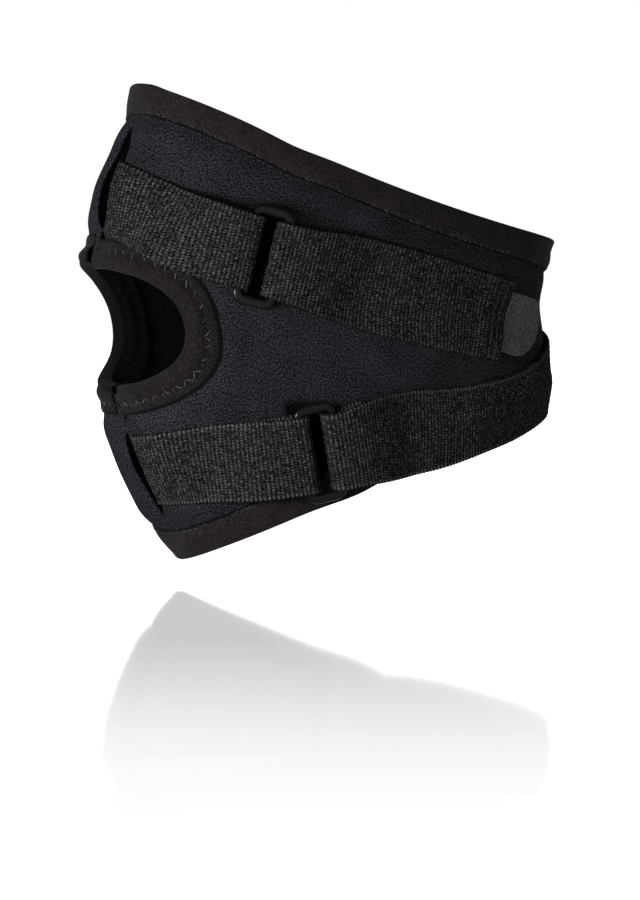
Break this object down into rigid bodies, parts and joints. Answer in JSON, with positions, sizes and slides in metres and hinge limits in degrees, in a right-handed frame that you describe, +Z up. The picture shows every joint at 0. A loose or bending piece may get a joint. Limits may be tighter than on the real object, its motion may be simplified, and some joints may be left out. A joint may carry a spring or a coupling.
{
  "type": "patella stabilizing knee brace",
  "caption": "Open-patella neoprene knee sleeve with bound edges and elastic side straps that turn through flat loops and end in hook tabs, to steady the kneecap.",
  "frame": {"origin": "middle of the hollow at the height of the kneecap opening, where the knee sits", "axes": "+Z up the leg, -X to the front of the knee, -Y to the side that carries the straps"},
  "size_m": [0.1675, 0.0898, 0.1573],
  "materials": {
    "neoprene": "black foam faced with a fine matt jersey",
    "binding": "black smooth stretch tape with zigzag stitching",
    "elastic": "charcoal woven elastic with fine cross ribs",
    "loop": "black moulded plastic with a soft sheen",
    "hook_tape": "dark grey hook tape"
  },
  "bodies": {
    "root": {"sleeve_panel": "neoprene", "top_binding": "binding", "bottom_binding": "binding", "opening_binding_near": "binding", "opening_binding_far": "binding", "upper_anchor_strap": "elastic", "upper_loop": "loop", "upper_long_strap": "elastic", "upper_hook_tab": "hook_tape", "lower_anchor_strap": "elastic", "lower_loop": "loop", "lower_long_strap": "elastic", "lower_hook_tab": "hook_tape"}
  },
  "joints": []
}
